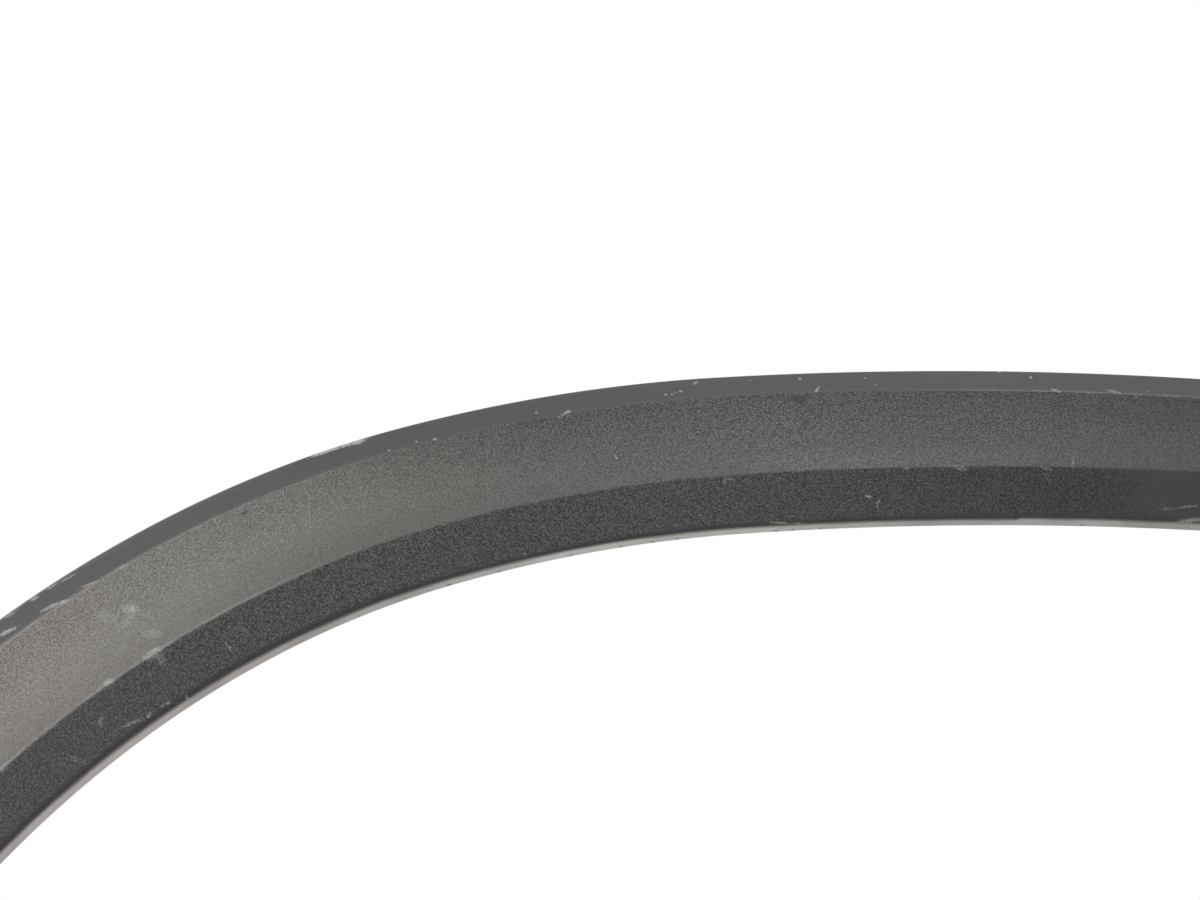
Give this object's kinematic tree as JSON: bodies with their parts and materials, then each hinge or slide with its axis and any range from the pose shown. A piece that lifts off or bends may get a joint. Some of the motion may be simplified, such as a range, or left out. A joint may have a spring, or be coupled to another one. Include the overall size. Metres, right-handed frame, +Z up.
{
  "type": "wheel arch trim",
  "caption": "Moulded plastic wheel arch trim with a grained, ridged face and a smooth outer border, open behind, with push-in clips, a locating peg and screw tabs.",
  "frame": {"origin": "on the locating peg's axis, in the plane that seats on the wing", "axes": "as on the car: +X along the arch's span, +Z up through its crown, +Y into the wing; the grained face looks towards -Y"},
  "size_m": [0.926, 0.029, 0.4069],
  "materials": {
    "grained_plastic": "fine leather grain with a smooth border, worn",
    "clip_nylon": "satin, natural nylon",
    "seal_foam": "closed-cell foam"
  },
  "bodies": {
    "root": {"arch_moulding": "grained_plastic", "panel_clips": "clip_nylon", "clip_seals": "seal_foam"}
  },
  "joints": []
}
